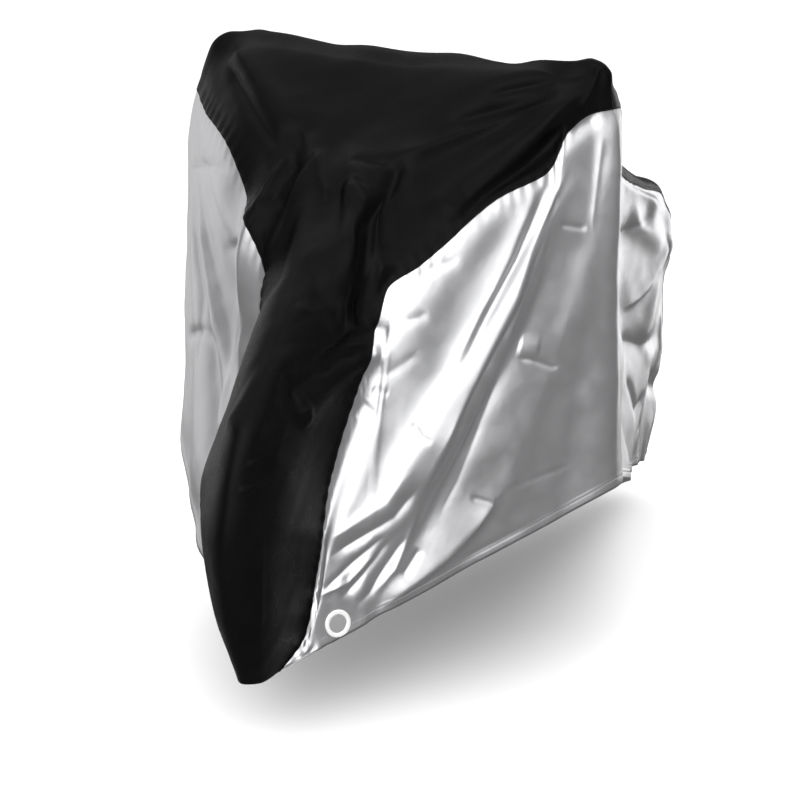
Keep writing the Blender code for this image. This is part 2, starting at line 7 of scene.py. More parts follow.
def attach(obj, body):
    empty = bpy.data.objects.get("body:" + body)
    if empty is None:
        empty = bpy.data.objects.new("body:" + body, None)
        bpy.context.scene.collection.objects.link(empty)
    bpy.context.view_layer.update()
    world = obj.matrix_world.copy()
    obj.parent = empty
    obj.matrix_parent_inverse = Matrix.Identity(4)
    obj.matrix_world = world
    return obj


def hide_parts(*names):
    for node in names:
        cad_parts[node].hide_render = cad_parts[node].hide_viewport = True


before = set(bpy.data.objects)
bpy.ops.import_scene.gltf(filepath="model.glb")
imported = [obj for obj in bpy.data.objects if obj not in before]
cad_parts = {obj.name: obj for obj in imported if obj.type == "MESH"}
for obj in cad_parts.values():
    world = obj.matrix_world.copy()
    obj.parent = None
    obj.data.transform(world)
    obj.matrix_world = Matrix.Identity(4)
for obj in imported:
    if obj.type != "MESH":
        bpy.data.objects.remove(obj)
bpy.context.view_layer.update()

print("frame loaded")


def size(vectors):
    # the length of each vector
    return np.linalg.norm(vectors, axis=-1)


def unit(vectors):
    # each vector over its own length; a zero vector stays zero
    length = np.linalg.norm(vectors, axis=-1, keepdims=True)
    return vectors / np.where(length > 1e-9, length, 1.0)


def ramp(value, low, high):
    # 3t^2 - 2t^3, with t going from 0 at low to 1 at high
    t = np.clip((value - low) / (high - low), 0.0, 1.0)
    return t * t * (3 - 2 * t)


def soften(values, rounds):
    # each row becomes a quarter of its neighbours and half of itself, again and again
    for _ in range(rounds):
        wide = np.concatenate([values[:1], values, values[-1:]])
        values = (wide[:-2] + 2 * wide[1:-1] + wide[2:]) / 4
    return values


def cubic(t, length, start, end, leave, arrive):
    # the Hermite cubic between two values, with the slopes that it leaves and arrives at
    return ((2 * t**3 - 3 * t**2 + 1) * start + (t**3 - 2 * t**2 + t) * length * leave
            + (-2 * t**3 + 3 * t**2) * end + (t**3 - t**2) * length * arrive)


def along(rows, at):
    # a cubic through the rows whose slopes are harmonic means, so it never overshoots
    table = np.array(rows, dtype=float)
    knot, value = table[:, 0], table[:, 1:]
    step = np.diff(knot)[:, None]
    slope = np.diff(value, axis=0) / step
    tangent = np.zeros_like(value)
    sameWay = slope[:-1] * slope[1:] > 0
    weightA = 2 * step[1:] + step[:-1]
    weightB = step[1:] + 2 * step[:-1]
    safeA = np.where(sameWay, slope[:-1], 1.0)
    safeB = np.where(sameWay, slope[1:], 1.0)
    mean = (weightA + weightB) / (weightA / safeA + weightB / safeB)
    tangent[1:-1] = np.where(sameWay, mean, 0.0)
    tangent[0] = slope[0]
    tangent[-1] = slope[-1]
    at = np.asarray(at, dtype=float)
    cell = np.clip(np.searchsorted(knot, at, side="right") - 1, 0, len(knot) - 2)
    length = (knot[cell + 1] - knot[cell])[..., None]
    t = (at - knot[cell])[..., None] / length
    return cubic(t, length, value[cell], value[cell + 1], tangent[cell], tangent[cell + 1])


def lengthAlong(line):
    # how far each point of a line is along it
    return np.concatenate([[0], np.cumsum(size(np.diff(line, axis=0)))])


def between(at, knots, values):
    # straight from row to row
    return np.stack([np.interp(at, knots, values[:, k]) for k in range(3)], axis=1)


# The cover's lines in millimetres. Sections run from the front hem, 0, to the rear hem, 20.
# Each entry gives section, x, y, z from the ground under the nose.
coverLines = {
    "ridge": [
        (0, 288, 47, 150), (1, 352, 56, 270), (2, 378, 60, 390), (3, 355, 57, 500),
        (4, 285, 47, 600), (5, 160, 30, 705), (6, 0, 10, 820), (7, -160, 0, 935),
        (8, -272, -2, 1036), (9, -315, -4, 1056), (10, -370, 0, 1030), (11, -550, 0, 965),
        (12, -740, 0, 940), (13, -1000, 0, 945), (14, -1100, 0, 790), (15, -1250, 0, 725),
        (16, -1410, 0, 680), (17, -1462, 0, 560), (18, -1480, 0, 400), (19, -1430, 0, 220),
        (20, -1425, 0, 100)],
    "leftBrow": [
        (0, 265, 63, 147), (1, 310, 88, 265), (2, 315, 92, 390), (3, 280, 88, 500),
        (4, 190, 80, 605), (5, 70, 75, 720), (6, -60, 85, 845), (7, -200, 120, 955),
        (8, -310, 270, 1045), (9, -360, 324, 1064), (9.5, -385, 300, 1056), (10, -420, 200, 1025),
        (11, -560, 80, 958),],
    "rightBrow": [
        (0, 262, 22, 146), (1, 312, 6, 270), (2, 330, -2, 392), (3, 308, -6, 485),
        (4, 235, -14, 590), (5, 125, -30, 695), (6, -5, -50, 815), (7, -125, -100, 925),
        (8, -225, -265, 1040), (9, -265, -337, 1068), (9.5, -290, -320, 1060),
        (10, -340, -220, 1030), (11, -550, -80, 958),],
    "leftSeam": [
        (0, 204, 62, 145), (0.5, 176, 68, 163), (1, 150, 73, 184), (1.5, 134, 76, 224),
        (2, 118, 77, 292), (2.5, 100, 77, 390), (3, 76, 82, 471), (4, 45, 93, 556),
        (5, 4, 109, 660), (5.5, -19, 115, 726), (6, -62, 145, 758), (6.5, -104, 172, 792),
        (7, -176, 218, 854), (7.5, -258, 276, 898), (8, -290, 292, 955), (8.5, -330, 316, 985),
        (9, -364, 346, 992), (9.5, -400, 335, 988), (10, -440, 270, 975), (11, -580, 140, 925),],
    "rightSeam": [
        (0, 204, 4, 142), (0.5, 207, -10, 158), (1, 209, -25, 182), (1.5, 210, -45, 220),
        (2, 209, -62, 270), (2.5, 207, -76, 335), (3, 200, -86, 405), (3.5, 140, -90, 470),
        (4, 62, -90, 520), (4.5, 30, -96, 570), (5, 12, -100, 615), (5.5, 4, -100, 700),
        (6, -14, -106, 728), (6.5, -12, -140, 795), (7, -78, -178, 832), (7.5, -127, -250, 907),
        (8, -195, -330, 937), (8.5, -234, -365, 955), (9, -260, -386, 966), (9.5, -300, -370, 962),
        (10, -360, -300, 955), (11, -560, -140, 925),],
    "leftHem": [
        (0, 204, 62, 145), (0.5, 177, 74, 152), (1, 156, 86, 160), (2, 138, 97, 167),
        (4, 110, 113, 177), (5, 86, 128, 187), (6, 50, 152, 204), (6.5, 30, 165, 214),
        (7, -24, 203, 239), (8, -130, 278, 288), (8.5, -218, 339, 328), (9, -314, 405, 371),
        (9.5, -470, 358, 335), (10, -620, 300, 280), (12, -860, 205, 200), (14, -1060, 135, 150),
        (16, -1210, 95, 120), (18, -1320, 68, 105), (20, -1392, 44, 100)],
    "rightHem": [
        (0, 204, 4, 142), (1, 182, -22, 151), (2, 160, -46, 160), (3, 132, -72, 172),
        (4, 104, -98, 183), (5.5, 52, -150, 204), (7, -30, -235, 236), (8.2, -130, -315, 280),
        (9, -258, -400, 366), (9.5, -400, -372, 337), (10, -580, -312, 280), (12, -840, -210, 200),
        (14, -1060, -138, 150), (16, -1210, -97, 120), (18, -1320, -69, 105), (20, -1392, -44, 100)],
    # section, and how far the left and the right side stand out between seam and hem
    "belly": [
        (0, 0, 0), (3, 4, -10), (6, 10, -20), (8, 18, -10), (8.5, 16, -4), (9, 0, 0),
        (9.5, -25, -25), (10, -45, -45), (12, -30, -34), (14, -12, -16), (16, 12, 10), (18, 16, 14),
        (20, 2, 2)],
}
# from section 12 on, brows and seams are the same on both sides
sameEnds = {
    "Brow": [(12, -740, 60, 932), (13, -1000, 72, 935), (14, -1095, 55, 785), (15, -1245, 45, 718),
             (16, -1398, 34, 674), (17, -1448, 30, 555), (18, -1466, 30, 400), (20, -1415, 24, 100)],
    "Seam": [(12, -740, 100, 900), (13, -995, 92, 900), (14, -1095, 68, 752), (15, -1240, 58, 700),
             (16, -1384, 48, 660), (17, -1425, 50, 555), (18, -1440, 52, 400), (20, -1392, 44, 100)],
}
for name, rows in sameEnds.items():
    coverLines["left" + name] += rows
    coverLines["right" + name] += [(section, x, -y, z) for section, x, y, z in rows]
coverLines = {name: np.array(rows) / ([1] + [1000] * (len(rows[0]) - 1))
              for name, rows in coverLines.items()}   # now in metres
topPoint = np.array([-0.315, -0.004, 1.054])   # the origin, from the ground under the nose
shoulder = 9                                   # the section that runs over both shoulders

# Folds that fan out from a shoulder: angle from the upright ridge at both ends, distance
# from the shoulder at both ends in metres, half widths in degrees, height in metres.
fanFolds = {}
fanFolds["left", "front"] = [
    (36.5, 34, 0.16, 0.86, 4.5, 2.6, 0.014),
    (31, 31.4, 0.26, 0.8, 1.6, 1.4, 0.005),
    (29, 29.6, 0.34, 0.84, 2.4, 2.2, -0.007),
    (13, 15, 0.1, 0.42, 5, 5, 0.004),
    (60, 47, 0.14, 0.6, 6, 6, 0.008),
    (70, 66, 0.16, 0.5, 5, 5, -0.007),
]
fanFolds["left", "rear"] = [
    (12, 14, 0.12, 0.72, 5, 5, -0.014),
    (24, 27, 0.1, 0.8, 5, 4, 0.018),
    (38, 42, 0.1, 0.95, 5, 6, -0.016),
    (54, 56, 0.12, 1, 6, 5, 0.016),
]
fanFolds["right", "front"] = [
    (14, 20, 0.1, 0.74, 5, 6, 0.01),
    (31, 33, 0.12, 0.84, 3.5, 3, 0.013),
    (26, 27, 0.2, 0.8, 2.6, 2.4, -0.008),
    (47, 43, 0.16, 0.7, 5, 5, -0.01),
]
fanFolds["right", "rear"] = [
    (16, 18, 0.12, 0.74, 5, 5, 0.014),
    (30, 35, 0.1, 0.85, 5, 5, -0.018),
    (46, 49, 0.1, 1, 5, 6, 0.016),
    (60, 62, 0.12, 0.95, 5, 5, -0.01),
]
# Folds from point to point in millimetres: both ends, half width at both ends, height.
straightFolds = [
    (-330, 250, 1020, -40, 50, 830, 30, 60, -16),
    (-330, 290, 990, -130, 150, 850, 22, 36, 12),
    (-330, 300, 975, -160, 185, 850, 18, 26, -12),
    (-110, 70, 900, 30, 95, 700, 18, 42, -16),
    (-60, 30, 860, 60, 70, 700, 20, 30, 12),
    (-240, -270, 1010, -70, -100, 880, 28, 50, 14),
    (-130, -110, 920, 60, -60, 740, 26, 50, -14),
    (10, 112, 660, 200, 75, 600, 14, 24, -9),
    (10, 112, 620, 170, 85, 560, 14, 22, 7),
    (-350, 170, 1052, -430, 150, 1010, 30, 30, -14),
    (-1180, 75, 640, -1440, 50, 520, 26, 36, 14),
    (-1420, 55, 620, -1240, 85, 400, 24, 30, 10),
    (-1440, 55, 330, -1260, 80, 350, 22, 22, 3),
    (-1300, 80, 340, -1180, 105, 180, 30, 24, 3),
    (-1430, 50, 240, -1300, 75, 280, 22, 20, -12),
    (-1410, -55, 600, -1250, -85, 420, 28, 34, 14),
    (-1440, -55, 400, -1230, -90, 300, 24, 30, -14),
    (-1430, -50, 250, -1200, -100, 200, 26, 26, 13),
    (-275, -300, 1062, -300, -150, 1056, 50, 50, -13),
    (-345, 140, 1050, -355, 290, 1060, 50, 45, -17),
    (-264, -335, 1068, -262, -358, 1048, 20, 20, 2),
    (-358, 300, 1065, -361, 328, 1050, 20, 20, 11),
    (-364, 338, 1050, -364, 352, 1000, 30, 30, -10),
    (-262, -400, 860, -262, -400, 600, 80, 80, 8),
    (-1400, 45, 480, -1360, 55, 260, 70, 60, -15),
    (-1320, 60, 260, -1210, 80, 130, 55, 50, -11),
]


def bellyWay(at):
    # square to both the drop from seam to hem and the run of the side, evened out
    even = np.linspace(0, 20, 81)
    ways = []
    for sign, side in ((1, "left"), (-1, "right")):
        seam = along(coverLines[side + "Seam"], even)
        hem = along(coverLines[side + "Hem"], even)
        run = soften(np.gradient(hem + seam, axis=0), 8)
        way = sign * unit(np.cross(hem - seam, run))
        ways.append(unit(between(at, even, way)))
    return ways


def sectionPoints(at):
    # the nine points of each section, from the right hem (0) over the ridge (4) to the left hem (8)
    line = {name: along(rows, at) for name, rows in coverLines.items()}
    wayLeft, wayRight = bellyWay(at)
    bellyLeft = (line["leftSeam"] + line["leftHem"]) / 2 + wayLeft * line["belly"][:, :1]
    bellyRight = (line["rightSeam"] + line["rightHem"]) / 2 + wayRight * line["belly"][:, 1:]
    return np.stack([line["rightHem"], bellyRight, line["rightSeam"], line["rightBrow"],
                     line["ridge"], line["leftBrow"], line["leftSeam"], bellyLeft,
                     line["leftHem"]])


def across(points, spot):
    # a centripetal Catmull-Rom curve through the nine points; spot says how far along, 0 to 8
    knot = np.zeros(points.shape[:2])
    for i in range(1, len(points)):
        chord = size(points[i] - points[i - 1])
        knot[i] = knot[i - 1] + np.sqrt(np.maximum(chord, 1e-8))
    slope = (points[1:] - points[:-1]) / (knot[1:] - knot[:-1])[..., None]
    tangent = np.empty_like(points)
    tangent[0] = slope[0]
    tangent[-1] = slope[-1]
    wide = (points[2:] - points[:-2]) / (knot[2:] - knot[:-2])[..., None]
    tangent[1:-1] = slope[:-1] + slope[1:] - wide
    cell = np.clip(np.floor(spot).astype(int), 0, len(points) - 2)
    row = np.arange(points.shape[1])[:, None] + np.zeros_like(cell)
    length = (knot[cell + 1, row] - knot[cell, row])[..., None]
    t = (spot - cell)[..., None]
    return cubic(t, length, points[cell, row], points[cell + 1, row], tangent[cell, row],
                 tangent[cell + 1, row])


def gridNormals(grid):
    # across times down, taken from the next row where a row has shrunk to a point
    normal = unit(np.cross(np.gradient(grid, axis=1), np.gradient(grid, axis=0)))
    for row in list(range(len(grid) - 2, -1, -1)) + list(range(1, len(grid))):
        near = row + 1 if row + 1 < len(grid) else row - 1
        empty = size(normal[row]) < 0.5
        normal[row][empty] = normal[near][empty]
    return normal


# a fan stays on its own side of the shoulder's section, and of the ridge, where it fades in
fanSections = {"front": (9.02, 8.98), "rear": (8.98, 9.02)}
fanSpots = {"left": (1, 4.3, 5.6), "right": (-1, -3.7, -2.4)}


def fanRelief(grid, at, spot):
    # height times exp(-(angle off the crest / width)^2), faded at both ends
    relief = np.zeros(grid.shape[:2])
    for (side, face), folds in fanFolds.items():
        seam, hem = coverLines[side + "Seam"], coverLines[side + "Hem"]
        top, foot = along(seam, [shoulder])[0], along(hem, [shoulder])[0]
        corner = np.array(hem[0][1:] if face == "front" else hem[-1][1:])
        down = unit(foot - top)
        forth = unit((corner - top) - down * ((corner - top) @ down))
        reach = grid - top
        x, y = reach @ forth, reach @ down
        distance = np.hypot(x, y)
        angle = np.degrees(np.arctan2(x, y))
        sign, start, full = fanSpots[side]
        facing, half = ramp(at, *fanSections[face]), ramp(sign * spot, start, full)
        for near, far, start, end, ridgeWidth, openWidth, height in folds:
            crest = near + (far - near) * np.clip((distance - start) / (end - start), 0, 1)
            off = angle - crest
            width = np.where(off < 0, ridgeWidth, openWidth)
            ends = ramp(distance, start - 0.04, start + 0.24) * ramp(-distance, -end, 0.1 - end)
            relief += height * np.exp(-(off / width) ** 2) * ends * half * facing[:, None]
    return relief


foldDepth = 0.05    # a straight fold takes hold of the cloth within this distance of its line


def straightRelief(grid, normal):
    # height times exp(-(distance from the line / width)^2)
    relief = np.zeros(grid.shape[:2])
    for row in np.array(straightFolds) / 1000:
        start, end, (nearWidth, farWidth, height) = row[0:3], row[3:6], row[6:9]
        line = end - start
        share = np.clip((grid - start) @ line / (line @ line), 0, 1)
        gap = grid - (start + share[..., None] * line)
        depth = (gap * normal).sum(axis=-1)
        aside = size(gap - depth[..., None] * normal)
        width = nearWidth + (farWidth - nearWidth) * share
        relief += height * np.exp(-(aside / width) ** 2 - (depth / foldDepth) ** 2)
    return relief


lumpWaves = 14    # how many waves make up the unevenness


def lumps(points, scale, seed):
    # a sum of sine waves in many directions, so no two places are alike
    draw = np.random.default_rng(seed)
    total = np.zeros(points.shape[:2])
    for _ in range(lumpWaves):
        way = unit(draw.normal(size=3)) * draw.uniform(0.6, 1.6) * 2 * np.pi / scale
        total += np.sin(points @ way + draw.uniform(0, 2 * np.pi))
    return total / lumpWaves ** 0.5


eyelet = {
    "left": (0.108, 0.112, 0.204),
    "right": (0.130, -0.072, 0.200),
    "flat": 0.034,       # radius of the flat patch that the ring sits on
    "blend": 0.066,      # radius where the cloth is back in its own folds
    "hole": 0.0163,      # radius of the hole in the cloth
    "sections": (2.0, 6.2), "spots": {"left": (6.9, 8), "right": (0, 1.1)},   # the cloth round it
}
# the elastic's gathers: pitch in sections, height, how far up the cloth they reach, and the
# sections between which they come in at the front and at the rear
gathers = {"pitch": 1.6, "height": 0.0035, "reach": 0.35, "front": (8.4, 7.4), "rear": (13.5, 15.5)}


def drawnIn(at, look):
    # 1 at both ends of the cover, 0 in the middle
    start, full = look["front"]
    return ramp(-at, -start, -full) + ramp(at, *look["rear"])


def gatherRelief(at, spot):
    # a sine along the hem, fading up the cloth
    fromHem = np.minimum(spot, 8 - spot) / 2
    reach = ramp(-fromHem, -gathers["reach"], 0.0)
    wave = np.sin(2 * np.pi * at / gathers["pitch"]) * drawnIn(at, gathers)
    return gathers["height"] * reach * wave[:, None]


# A face is a flat frame that creases are drawn in: an origin, and the ways that its first
# and second coordinate run. The first times the second is the way out of the cloth.
faces = {
    "leftFront": ((-0.363, 0.344, 0.993), (0.8046, -0.5937, 0.009), (0.0829, 0.0973, -0.9918)),
    "front": ((0, 0, 0), (0, 1, 0), (0, 0, 1)),
    "rightFront": ((-0.260, -0.386, 0.966), (0.86, 0.51, 0), (0, 0, 1)),
    "leftRear": ((-1.2, 0, 0), (-1, 0, 0), (0, 0, 1)),
    "rightRear": ((-1.2, 0, 0), (1, 0, 0), (0, 0, 1)),
}
roofFall, roofRound = 1.7, 0.02    # how steeply a roof falls, and how round its ridge is


def creaseRelief(grid, normal, face, creases):
    # A crease is height, half width on its left, half width on its right, sharpness, and then
    # its path's x, y, x, y and so on, in millimetres. Left is as one walks along it outside.
    # Sharpness goes from 0, a round bump exp(-d^2), to 1, a roof exp(-d). It fades at its ends.
    origin, first, second = np.array(faces[face], dtype=float)
    first, second = unit(first), unit(second)
    reach = grid - origin
    spotsAt = np.stack([reach @ first, reach @ second], axis=-1)
    facing = ramp(normal @ np.cross(first, second), 0.05, 0.4)
    relief = np.zeros(grid.shape[:2])
    for height, widthLeft, widthRight, sharp, *path in creases:
        path = np.array(path).reshape(-1, 2) / 1000
        height, widthLeft, widthRight = np.array([height, widthLeft, widthRight]) / 1000
        margin = 3.0 * max(widthLeft, widthRight)
        near = np.all((spotsAt > path.min(0) - margin) & (spotsAt < path.max(0) + margin), axis=-1)
        point = spotsAt[near]
        legs = path[1:] - path[:-1]
        lengths = size(legs)
        best = np.full(len(point), 9.0)
        signed = np.full(len(point), 9.0)
        place = np.zeros(len(point))
        before = 0.0
        for start, leg, length in zip(path[:-1], legs, lengths):
            share = np.clip((point - start) @ leg / length**2, 0, 1)
            gap = point - (start + share[:, None] * leg)
            off = size(gap)
            turn = leg[0] * gap[:, 1] - leg[1] * gap[:, 0]
            closer = off < best
            best = np.where(closer, off, best)
            signed = np.where(closer, np.where(turn >= 0, off, -off), signed)
            place = np.where(closer, (before + share * length) / lengths.sum(), place)
            before += length
        scaled = np.abs(signed) / np.where(signed > 0, widthLeft, widthRight)
        bump = np.exp(-scaled**2)
        roof = np.exp(-roofFall * (np.sqrt(scaled**2 + roofRound) - roofRound ** 0.5))
        roof = roof * ramp(-scaled, -2.8, -1.4)
        ends = ramp(place, -0.0001, 0.22) * ramp(-place, -1.0001, -0.78)
        relief[near] += height * ((1 - sharp) * bump + sharp * roof) * ends
    return relief * facing


# the creases of each piece on each face
handCreases = {}
handCreases["left", "leftFront"] = [
    # the long stripe from the shoulder, with its trough and the second crest
    (7.5, 8, 24, 0.8, 85, 80, 125, 150, 170, 225, 210, 305, 255, 380, 300, 460, 350, 560, 375, 620),
    (-5, 10, 10, 0.5, 120, 100, 195, 240, 255, 335, 320, 445),
    (5, 12, 26, 0.6, 135, 100, 210, 240, 260, 320, 325, 435),
    (2, 4, 10, 1, 190, 300, 225, 375),
    (8, 65, 100, 0.7, 160, 215, 205, 305, 250, 380, 300, 465, 350, 560, 375, 610),
    (-2.5, 5, 7, 0.8, 125, 165, 165, 240, 210, 320, 250, 390, 285, 445, 315, 515, 350, 580, 390, 640),
    (2.5, 6, 8, 0.8, 220, 370, 255, 440, 285, 500, 325, 580, 360, 640, 400, 695),
    (-1.2, 7, 7, 0.7, 215, 390, 240, 450, 270, 520, 300, 590, 340, 660),
    # the edge of the grey facet
    (5, 110, 60, 0.9, 70, 215, 85, 285, 125, 410, 135, 430, 170, 500, 210, 595, 225, 630, 365, 740,
     400, 770),
    (1.5, 6, 9, 0.6, 25, 35, 55, 205),
    (-3, 5, 5, 0.8, 115, 185, 60, 195),
    (-3.5, 6, 6, 0.8, 200, 395, 170, 400, 130, 415, 115, 410),
    (2.5, 14, 16, 0, 195, 375, 155, 385),
    (-3, 5, 6, 0.8, 280, 615, 235, 630, 225, 620),
    (-1.5, 6, 6, 0.5, 300, 725, 155, 670),
    (-1.5, 6, 6, 0.5, 215, 610, 85, 580),
    # the white cloth beside the black panel
    (-2, 10, 10, 0.2, 375, 255, 340, 245, 290, 230),
    (-2, 7, 7, 0.3, 390, 260, 360, 280),
    (-2.2, 10, 10, 0.4, 410, 310, 385, 325, 365, 320, 350, 310),
    (-1.2, 10, 10, 0.3, 400, 330, 445, 400),
    (-1.4, 9, 9, 0.3, 365, 375, 435, 420),
    (-1.2, 8, 8, 0.3, 440, 430, 415, 440),
    (-2, 16, 16, 0.2, 445, 450, 475, 475),
    (-2, 6, 6, 0.3, 380, 485, 370, 510, 355, 520),
    # the dark fold that leads down to the eyelet, and the pleats round it
    (-5.5, 12, 12, 0.6, 530, 695, 490, 675, 415, 635, 370, 585),
    (3.5, 10, 14, 0.4, 540, 670, 495, 650, 430, 610, 390, 560),
    (-3.5, 6, 6, 0.4, 540, 750, 490, 710, 425, 660),
    (3.5, 6, 6, 0.4, 550, 755, 490, 735, 430, 680),
    (-4, 7, 7, 0.5, 520, 780, 465, 725, 415, 665),
    (-4, 7, 7, 0.5, 485, 780, 450, 755, 425, 715, 385, 660),
    (4, 8, 8, 0.5, 450, 765, 410, 720, 370, 620),
    (-3.5, 7, 7, 0.5, 400, 735, 365, 690),
    # the white wedge below the lowest cross crease
    (12, 8, 45, 0.8, 215, 605, 265, 665, 325, 715, 405, 765, 440, 790),
]
handCreases["left", "leftRear"] = [
    # the tail: dark triangle, white panel, grey band and the white fold below it
    (11, 40, 30, 0.9, -110, 765, 20, 700, 110, 650, 150, 630),
    (-13, 28, 35, 0.8, -130, 625, 0, 625, 100, 645),
    (10, 60, 16, 0.9, -130, 480, -20, 485, 60, 500, 150, 550),
    (-10, 30, 40, 0.8, -130, 425, 10, 380, 100, 370, 180, 375),
    (-6, 12, 22, 0.8, -90, 340, -60, 310, -20, 250, 50, 275),
    (-5, 14, 14, 0.6, 150, 600, 165, 520, 120, 450),
    (5, 16, 12, 0.5, 190, 440, 180, 330, 120, 230),
    (-5, 10, 12, 0.6, 60, 210, 20, 190, -40, 160),
]
handCreases["right", "rightFront"] = [
    (-4.5, 12, 10, 0.6, 25, -135, 165, -105, 225, -105),
    (2.5, 8, 8, 0.5, 100, -85, 140, -115),
    (-4, 8, 8, 0.5, 200, -240, 340, -195),
    (-5, 12, 14, 0.5, 45, -430, 150, -395, 240, -400),
    (4.5, 12, 12, 0.6, 345, -275, 320, -365, 290, -435, 290, -465, 300, -515, 250, -610),
    (4, 14, 10, 0.4, 100, -180, 190, -310, 240, -440),
    (-4, 10, 12, 0.4, 60, -200, 130, -340, 150, -500),
]
handCreases["right", "rightRear"] = [
    (5, 18, 20, 0.6, -170, 610, -80, 500, 30, 450),
    (-5, 14, 16, 0.5, -190, 470, -60, 390, 90, 370),
    (4, 16, 16, 0.5, -200, 330, -50, 270, 120, 250),
    (-3.5, 12, 14, 0.5, -120, 200, 20, 160),
    (4, 16, 12, 0.5, 150, 820, 300, 700, 480, 560),
    (-4, 14, 16, 0.5, 250, 840, 420, 690, 600, 450),
    (3, 12, 12, 0.5, 420, 840, 560, 640, 660, 480),
    (-2, 8, 8, 0.6, 300, 480, 420, 460, 520, 480),
]
handCreases["centre", "front"] = [
    # folds that come down from the left shoulder end
    (7.5, 14, 14, 0.4, 285, 1010, 185, 965, 90, 920, 30, 905),
    (-7.5, 12, 12, 0.4, 315, 1050, 235, 1025, 155, 1005),
    (-6, 12, 12, 0.4, 280, 1015, 150, 970, 105, 955),
    (11, 12, 50, 0.9, 315, 1030, 275, 985, 225, 910, 175, 835, 160, 810),
    (-9, 18, 10, 0.5, 295, 980, 245, 905, 200, 850, 175, 815),
    (5, 6, 6, 0.6, 220, 870, 195, 845, 175, 820),
    (4, 5, 5, 0.6, 315, 1060, 310, 1030, 305, 990),
    (-4, 5, 5, 0.6, 325, 1060, 340, 1030),
    # folds that come down from the right shoulder end
    (10, 50, 28, 0.9, -330, 1060, -250, 1020, -175, 975, -75, 905, -40, 880),
    (9, 30, 14, 0.9, -60, 915, -80, 830, -100, 755, -105, 720),
    (-7.5, 14, 14, 0.4, -315, 1025, -235, 980, -180, 940, -125, 900),
    # the hollow triangles where the neck begins
    (-12.5, 20, 24, 0.4, -95, 905, -105, 860, -110, 820),
    (5, 6, 6, 0.8, -115, 905, -125, 860, -140, 815),
    (7.5, 10, 8, 0.8, -70, 910, -35, 870, -5, 840),
    (2.5, 6, 6, 0.8, -120, 880, -135, 845),
    # the light band down the neck, with the dark triangle on its left side
    (15, 30, 35, 0.9, -40, 925, -5, 895, 45, 845, 90, 765, 110, 725, 125, 690),
    (-8, 20, 20, 0.6, 15, 895, 60, 860, 105, 790, 125, 750),
    (-6, 14, 30, 0.5, -20, 890, 35, 815, 75, 755, 95, 690),
    # the lit patch below it, where the cloth bears on what it covers
    (-10, 14, 22, 0.6, 10, 780, 50, 745, 85, 690, 105, 650),
    (9, 70, 22, 0.7, 10, 575, 50, 565, 95, 550, 115, 545),
    (-4, 6, 6, 0.6, -10, 895, 60, 900),
    (5, 10, 10, 0.4, 35, 720, 65, 705, 85, 660),
    (5, 14, 14, 0.3, 55, 670, 70, 620, 85, 565),
    (-5, 6, 6, 0.8, 80, 605, 85, 625, 100, 625),
    (5, 16, 16, 0.3, 50, 625, 70, 535, 80, 435, 85, 305, 80, 215),
    # short gathers square to the left seam
    (4, 5, 5, 0.5, 85, 660, 110, 655),
    (4, 4, 4, 0.5, 80, 640, 105, 640),
    (3, 4, 4, 0.5, 82, 585, 106, 590),
    (4, 4, 4, 0.5, 78, 565, 100, 572),
    (3, 4, 4, 0.5, 75, 540, 95, 545),
    (4, 5, 5, 0.5, 70, 515, 90, 522),
    (2.5, 4, 4, 0.5, 68, 480, 88, 485),
]


# small waves that the sewing draws up along an edge: pitch, height and how far in they reach
puckers = {
    "seam": {"pitch": 0.024, "height": 0.0010, "reach": 0.022},
    "hem": {"pitch": 0.030, "height": 0.0016, "reach": 0.035},
}
# uneven cloth everywhere: size of the lumps, height, seed
unevenness = [(0.160, 0.0008, 3), (0.060, 0.0003, 8)]
puckerDrift = (0.12, 0.20)      # over these lengths the puckers' pitch and height wander
hemDrawn = {"front": (6.0, 4.0), "rear": (14.0, 16.0)}   # sections where the hem's puckers come in
seamFade = (0.004, 0.024)       # hand creases come in over this distance from a seam


def fromEdge(grid, spot, edge):
    # each point's distance from its row's point on the edge
    column = np.argmin(np.abs(spot[len(spot) // 2] - edge))
    return size(grid - grid[:, column:column + 1])


def edgeRun(name, at):
    # the edge's points at these sections, and how far each is along it
    even = np.linspace(0, 20, 401)
    line = along(coverLines[name], even)
    return along(coverLines[name], at), np.interp(at, even, lengthAlong(line))


def puckerRelief(grid, at, spot, edge, name, look, seed):
    # a wave along the edge, uneven in height and pitch, fading as exp(-(distance / reach)^2)
    line, run = edgeRun(name, at)
    uneven = lumps(line[:, None], puckerDrift[0], seed)[:, 0]
    tall = 0.6 + 0.4 * np.clip(lumps(line[:, None], puckerDrift[1], seed + 1)[:, 0], -1.2, 1.2)
    wave = tall * np.sin(2 * np.pi * run / look["pitch"] + 2.2 * uneven)
    away = fromEdge(grid, spot, edge)
    return look["height"] * wave[:, None] * np.exp(-(away / look["reach"]) ** 2)


